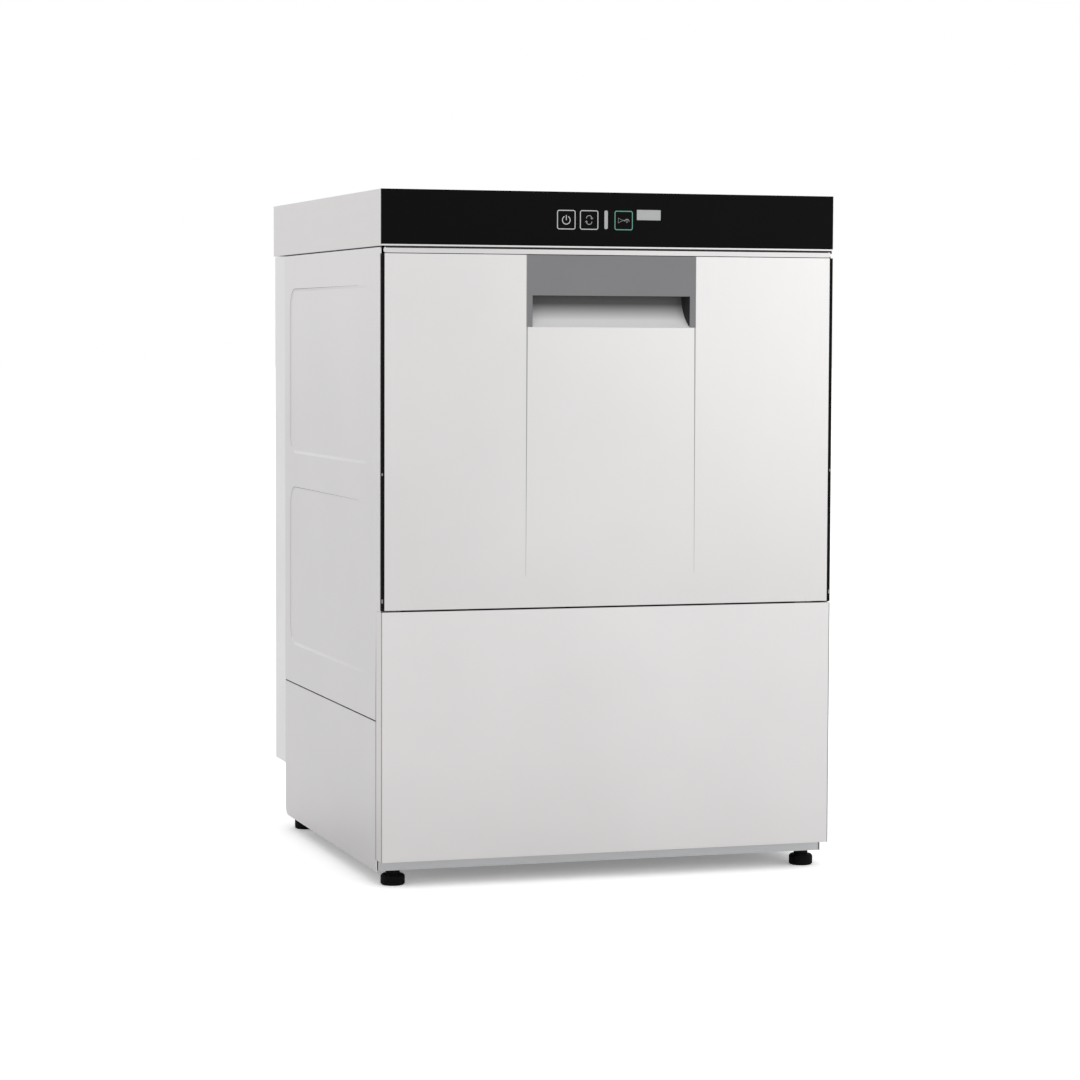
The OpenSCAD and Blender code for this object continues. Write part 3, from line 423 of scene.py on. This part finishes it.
PRESS_Y = (FRONT_Y + 45 * MM, FRONT_Y + 440 * MM)
PRESS_Z = ((232 * MM, 424.3 * MM), (466 * MM, 664.4 * MM))
PRESS_R = 25 * MM
PRESS_DEPTH = 0.9 * MM
PRESS_LIP = 3.2 * MM
SHEET = 1.2 * MM
PLINTH_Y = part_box("base_frame")[0].y
HOOD_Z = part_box("top_cover")[0].z
# How far fine lines stand in front of the sheet that carries them
PROUD = 0.03 * MM


def press_outline(z_range, inset=0.0):
    """Points (y, z) of a pressed field of the side panels, anticlockwise, set in by a distance."""
    centre = (sum(PRESS_Y) / 2, sum(z_range) / 2)
    return rounded(centre, PRESS_Y[1] - PRESS_Y[0] - 2 * inset, z_range[1] - z_range[0] - 2 * inset,
                   PRESS_R - inset, 10)


def make_side_panel(side, name):
    """Upper side panel whose two pressed fields have soft shoulders and fade out towards the front."""
    low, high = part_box(name)
    notch_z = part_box("door_outer_panel")[0].z - 1.6 * MM
    bottom, top, front_y = low.z + 0.9 * MM, high.z - 0.7 * MM, low.y + 2.2 * MM
    bm = bmesh.new()

    def vertex(y, z, depth=0.0):
        return bm.verts.new((side * (WIDE - depth), y, z))

    def join(loop):
        return [bm.edges.new((loop[i], loop[(i + 1) % len(loop)])) for i in range(len(loop))]

    edges = join([vertex(*p) for p in (
        (PLINTH_Y, bottom), (high.y, bottom), (high.y, top), (front_y, top), (front_y, notch_z),
        (PLINTH_Y, notch_z))])
    fields = []
    steps = 6
    for z_range in PRESS_Z:
        rings = []
        for k in range(steps + 1):
            share = k / steps
            slope = PRESS_DEPTH * share ** 2 * (3 - 2 * share) / (PRESS_Y[1] - PRESS_Y[0])
            rings.append([vertex(y, z, slope * (y - PRESS_Y[0]))
                          for y, z in press_outline(z_range, PRESS_LIP * share)])
        edges += join(rings[0])
        fields.append(rings)
    bmesh.ops.triangle_fill(bm, use_beauty=True, edges=edges)
    flat_faces = set(bm.faces)
    for rings in fields:
        for outer, inner in zip(rings, rings[1:]):
            for face in bridge(bm, outer, inner):
                face.smooth = True
        flat_faces.add(bm.faces.new(rings[-1]))
    bmesh.ops.recalc_face_normals(bm, faces=bm.faces)
    if sum(f.normal.x * side for f in flat_faces) < 0:
        bmesh.ops.reverse_faces(bm, faces=bm.faces)
    panel = make_piece(name.replace("upper_side_panel", "pressed_side"), bm, "cabinet", "side_steel",
                       [name])
    sheet = panel.modifiers.new("sheet", "SOLIDIFY")
    sheet.thickness = SHEET
    sheet.offset = -1.0


def make_press_lines(side, name):
    """Fine strips along the creases of a side panel's pressed fields: painted shade above and behind,
    painted highlight below.
    """
    x = side * (WIDE + PROUD)
    thin_share, thin_y = 0.25, PRESS_Y[0] + 80 * MM
    # Grey strips paint the shade of the upper and rear shoulders, bright strips paint the highlight of the
    # lower shoulder
    for tone, mat, width in (("shaded", "grey_and_painted_shade", 0.7 * MM), ("bright", "painted_highlight_line", 1.2 * MM)):
        bm = bmesh.new()
        for z_range in PRESS_Z:
            outline = press_outline(z_range)
            quarter = len(outline) // 4
            rear_top, rear_low = outline[:quarter], outline[3 * quarter:]
            if tone == "shaded":
                path = rear_low[quarter // 2:] + rear_top + [(PRESS_Y[0] + 55 * MM, z_range[1])]
            else:
                path = [(PRESS_Y[0] + 45 * MM, z_range[0])] + rear_low[:quarter // 2 + 1]
            rows = []
            for i, (y, z) in enumerate(path):
                here = Vector((y, z))
                along = (Vector(path[min(i + 1, len(path) - 1)]) - Vector(path[max(i - 1, 0)])).normalized()
                half = Vector((-along.y, along.x)) * width / 2
                if y < thin_y:
                    half *= thin_share
                rows.append((here + half, here - half))
            for (a, b), (c, d) in zip(rows, rows[1:]):
                add_side_band(bm, x, [a, c, d, b])
        make_piece(f"press_lines_{tone}_{name}", bm, "cabinet", mat)


def make_side_joints(side, name):
    """Dark joints between the casing sheets on one side, and a grey strip of painted shade on the rolled
    front corner under the door.
    """
    rear_y, lower_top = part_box("lower_side_panel_left")[1].yz
    low_z, high_z = (corner.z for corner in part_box("lower_front_panel"))
    seam_z, half = lower_top - 8 * MM, 2 * MM
    inner = side * (WIDE - 0.5 * MM)
    bm = bmesh.new()
    add_side_band(bm, inner, [(PLINTH_Y, seam_z - half), (rear_y, seam_z - half),
                              (rear_y, seam_z + half), (PLINTH_Y, seam_z + half)])
    add_side_band(bm, inner, [(FRONT_Y + 2 * MM, HOOD_Z - 3 * MM), (rear_y, HOOD_Z - 3 * MM),
                              (rear_y, HOOD_Z + half), (FRONT_Y + 3 * MM, HOOD_Z + half)])
    make_piece("joint_strips_" + name, bm, "cabinet", "joint_and_painted_shade_dark")
    bm = bmesh.new()
    joint, edge = 2.4 * MM, 1.0 * MM
    add_side_band(bm, side * (WIDE + PROUD), [
        (PLINTH_Y - 0.2 * MM, low_z), (PLINTH_Y + joint, low_z),
        (PLINTH_Y + joint, high_z - 95 * MM), (PLINTH_Y, high_z - 20 * MM)])
    # Grey strip down the front corner of the lower front panel: painted shade on its rolled edge
    points = [(side * WIDE, low_z), (side * WIDE, high_z),
              (side * (WIDE - edge), high_z), (side * (WIDE - edge), low_z)]
    add_plate(bm, points, FRONT_Y - PROUD)
    make_piece("joint_and_corner_painted_shade_" + name, bm, "cabinet", "grey_and_painted_shade")


def make_hood_joint():
    """Dark joint between the hood's front lip and the rail over the door."""
    rail_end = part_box("front_top_rail")[1]
    wide = rail_end.x - 2.5 * MM
    low_z, high_z = rail_end.z - 0.8 * MM, HOOD_Z + 0.2 * MM
    bm = bmesh.new()
    add_plate(bm, [(-wide, low_z), (-wide, high_z), (wide, high_z), (wide, low_z)], FRONT_Y + 0.3 * MM)
    make_piece("hood_joint", bm, "cabinet", "joint_and_painted_shade_dark")


def make_hinge_marks():
    """Small grey clips on the left and right door seals: one at the hinge, one above it."""
    clips = ((318 * MM, 4.5 * MM), (457 * MM, 3.0 * MM))
    clip_x, clip_w, corner = WIDE - 1.1 * MM, 1.7 * MM, 0.7 * MM
    bm = bmesh.new()
    for side in (-1, 1):
        for z, height in clips:
            outline = rounded((side * clip_x, z), clip_w, height, corner, 4)
            face_rim = add_plate(bm, outline, FRONT_Y - 0.12 * MM)
            back_rim = [bm.verts.new((px, FRONT_Y + 0.2 * MM, pz)) for px, pz in outline]
            bridge(bm, back_rim, face_rim)
    make_piece("seal_clips", bm, "cabinet", "grey_and_painted_shade")


# ---- Door ----


def make_scoop():
    """Curved floor of the grip pocket, with its upright back and its cheeks that close in."""
    low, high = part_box("door_handle")
    leg, pocket_r, depth, gap = 7.1 * MM, 43 * MM, 18 * MM, 0.15 * MM
    cheek_lean, cheek_front, cheek_top = 0.22, low.y + 0.4 * MM, LIP_Z + 2 * MM
    centre_y = low.y + depth - pocket_r
    radius = pocket_r - gap
    front_angle = math.degrees(math.acos((low.y + 0.05 * MM - centre_y) / radius))
    profile = [(centre_y + radius, LIP_Z + 12 * MM)] + [
        (y, LIP_Z - z) for y, z in arc((centre_y, 0), radius, 0, front_angle, 24)]
    bm = bmesh.new()
    rows = [[bm.verts.new((x, y, z)) for y, z in profile] for x in (low.x + leg, high.x - leg)]
    for i in range(len(profile) - 1):
        bm.faces.new((rows[0][i], rows[0][i + 1], rows[1][i + 1], rows[1][i])).smooth = True
    make_piece("grip_scoop", bm, "door", "scoop_steel")
    bm = bmesh.new()
    for x in (low.x + leg, high.x - leg):
        cheek = [(cheek_front, cheek_top), (centre_y + radius, cheek_top)] + [
            p for p in profile[1:] if p[0] > cheek_front]
        inward = -math.copysign(1, x)
        face = bm.faces.new([bm.verts.new((x + inward * cheek_lean * (y - low.y), y, z))
                             for y, z in cheek])
        face.normal_update()
        if face.normal.x * x > 0:
            face.normal_flip()
    # Near-black cheeks: painted shade on the sides of the grip pocket
    make_piece("grip_cheeks", bm, "door", "joint_and_painted_shade_dark")


def make_channel_edges():
    """The two creases of the shallow channel under the grip, thinning out downwards."""
    low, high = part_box("door_handle")
    bottom_z = 343 * MM
    wide_top, wide_bottom = 1.6 * MM, 0.3 * MM
    bm = bmesh.new()
    for x in (low.x, high.x):
        inward = 1 if x < 0 else -1
        add_plate(bm, [(x, low.z), (x, bottom_z), (x + inward * wide_bottom, bottom_z),
                       (x + inward * wide_top, low.z)], FRONT_Y - 0.04 * MM)
    make_piece("channel_creases", bm, "door", "line_steel")


def make_grip_gap():
    """Narrow shaded gap between the grip insert and the door sheet."""
    low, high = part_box("door_handle")
    bm = bmesh.new()
    for x in (low.x, high.x):
        outward = -1 if x < 0 else 1
        a, b = x - outward * 0.9 * MM, x + outward * 0.1 * MM
        add_plate(bm, [(a, low.z), (a, high.z), (b, high.z), (b, low.z)], FRONT_Y - 0.05 * MM)
    make_piece("grip_gap", bm, "door", "grey_and_painted_shade")


make_symbols()
make_display()
for side, name in ((-1, "left"), (1, "right")):
    make_side_panel(side, "upper_side_panel_" + name)
    make_press_lines(side, name)
    make_side_joints(side, name)
make_hood_joint()
make_hinge_marks()
make_scoop()
make_channel_edges()
make_grip_gap()

# ---- Camera, floor and light ----

# Turns in degrees, the eye in metres and the lens in millimetres
CAMERA = {"yaw": 17.506, "pitch": 3.697, "roll": 0.210, "eye": (-1.1387, -3.6122, 0.6094), "lens": 105.57}


def make_camera():
    """A long lens, a little above the machine and to its left."""
    yaw, pitch, roll = (math.radians(CAMERA[k]) for k in ("yaw", "pitch", "roll"))
    ahead = Vector((math.sin(yaw) * math.cos(pitch), math.cos(yaw) * math.cos(pitch), -math.sin(pitch)))
    level = Vector((math.cos(yaw), -math.sin(yaw), 0))
    upright = level.cross(ahead)
    right = math.cos(roll) * level + math.sin(roll) * upright
    up = -math.sin(roll) * level + math.cos(roll) * upright
    cam = bpy.data.objects.new("camera", bpy.data.cameras.new("camera"))
    cam.data.lens = CAMERA["lens"]
    cam.data.sensor_width = 36.0
    cam.data.clip_end = 60.0
    turn = Matrix((right, up, -ahead)).transposed().to_4x4()
    cam.matrix_world = Matrix.Translation(CAMERA["eye"]) @ turn
    bpy.context.scene.collection.objects.link(cam)
    bpy.context.scene.camera = cam


def make_floor():
    """White studio floor. The camera sees it brighter than it is, so only the machine's shade shows."""
    half_size = 60.0
    bm = bmesh.new()
    bmesh.ops.create_grid(bm, x_segments=4, y_segments=4, size=half_size)
    mesh = bpy.data.meshes.new("floor")
    bm.to_mesh(mesh)
    bm.free()
    floor = bpy.data.objects.new("floor", mesh)
    bpy.context.scene.collection.objects.link(floor)
    white = Surface("floor_white", (0.8, 0.8, 0.8), Roughness=0.9, Specular_IOR_Level=0.0)
    seen = white.nodes.new("ShaderNodeEmission")
    seen.inputs["Strength"].default_value = 0.22
    seen = seen.outputs["Emission"]
    for shade in (1.0, 0.2):
        diffuse = white.nodes.new("ShaderNodeBsdfDiffuse")
        diffuse.inputs["Color"].default_value = (shade, shade, shade, 1.0)
        both = white.nodes.new("ShaderNodeAddShader")
        white.links.new(seen, both.inputs[0])
        white.links.new(diffuse.outputs["BSDF"], both.inputs[1])
        seen = both.outputs["Shader"]
    path = white.nodes.new("ShaderNodeLightPath")
    mix = white.nodes.new("ShaderNodeMixShader")
    white.links.new(path.outputs["Is Camera Ray"], mix.inputs["Fac"])
    white.links.new(white.shader.outputs["BSDF"], mix.inputs[1])
    white.links.new(seen, mix.inputs[2])
    white.links.new(mix.outputs["Shader"], white.nodes["Material Output"].inputs["Surface"])
    floor.data.materials.append(white.mat)


def make_world():
    """Soft studio surround: white to the eye, and a little brighter to the right of the machine."""
    left_glow, right_glow = 0.774, 1.008
    world = bpy.data.worlds.new("studio")
    bpy.context.scene.world = world
    world.use_nodes = True
    nodes, links = world.node_tree.nodes, world.node_tree.links
    coords = nodes.new("ShaderNodeTexCoord")
    axes = nodes.new("ShaderNodeSeparateXYZ")
    links.new(coords.outputs["Generated"], axes.inputs["Vector"])
    glow = nodes.new("ShaderNodeMapRange")
    glow.interpolation_type = "SMOOTHSTEP"
    glow.inputs["From Min"].default_value = -1.0
    glow.inputs["From Max"].default_value = 1.0
    glow.inputs["To Min"].default_value = left_glow
    glow.inputs["To Max"].default_value = right_glow
    links.new(axes.outputs["X"], glow.inputs["Value"])
    shaded = nodes["Background"]
    shaded.inputs["Color"].default_value = (1.0, 0.995, 0.995, 1.0)
    links.new(glow.outputs["Result"], shaded.inputs["Strength"])
    seen = nodes.new("ShaderNodeBackground")
    seen.inputs["Color"].default_value = (1.0, 1.0, 1.0, 1.0)
    path = nodes.new("ShaderNodeLightPath")
    mix = nodes.new("ShaderNodeMixShader")
    links.new(path.outputs["Is Camera Ray"], mix.inputs["Fac"])
    links.new(shaded.outputs["Background"], mix.inputs[1])
    links.new(seen.outputs["Background"], mix.inputs[2])
    links.new(mix.outputs["Shader"], nodes["World Output"].inputs["Surface"])


def area_light(name, place, target, size, power):
    """Rectangular light aimed at a point."""
    lamp = bpy.data.lights.new(name, "AREA")
    lamp.shape = "RECTANGLE"
    lamp.size, lamp.size_y = size
    lamp.energy = power
    obj = bpy.data.objects.new(name, lamp)
    obj.location = place
    obj.rotation_euler = (Vector(target) - Vector(place)).to_track_quat("-Z", "Y").to_euler()
    bpy.context.scene.collection.objects.link(obj)


make_camera()
make_floor()
make_world()
area_light("key", (2.0, -3.2, 1.0), (0, 0, 0.40), (1.6, 1.4), 5.2)
bpy.context.scene.view_settings.view_transform = "Standard"
